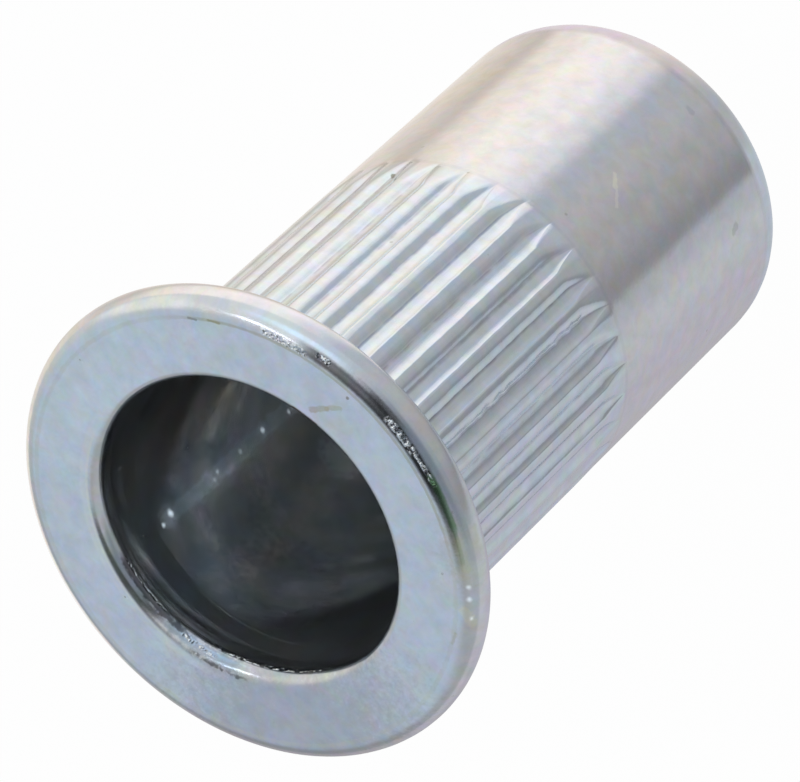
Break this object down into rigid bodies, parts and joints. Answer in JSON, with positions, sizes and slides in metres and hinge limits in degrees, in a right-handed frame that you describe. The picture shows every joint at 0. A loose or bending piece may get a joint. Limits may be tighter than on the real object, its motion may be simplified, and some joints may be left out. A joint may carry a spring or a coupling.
{
  "type": "rivet nut",
  "caption": "Blind rivet nut: flat round flange, thin-walled barrel with a straight knurl under the flange, wide counterbore and an open threaded far end.",
  "frame": {"origin": "centre of the barrel's open far end, on the plane it stands on", "axes": "+Z along the nut's axis, from the far end to the flange's face"},
  "size_m": [0.0174, 0.0174, 0.026],
  "materials": {
    "zinc_plated_steel": "bright zinc plating, fine satin, slightly mottled"
  },
  "bodies": {
    "root": {"rivet_nut": "zinc_plated_steel"}
  },
  "joints": []
}
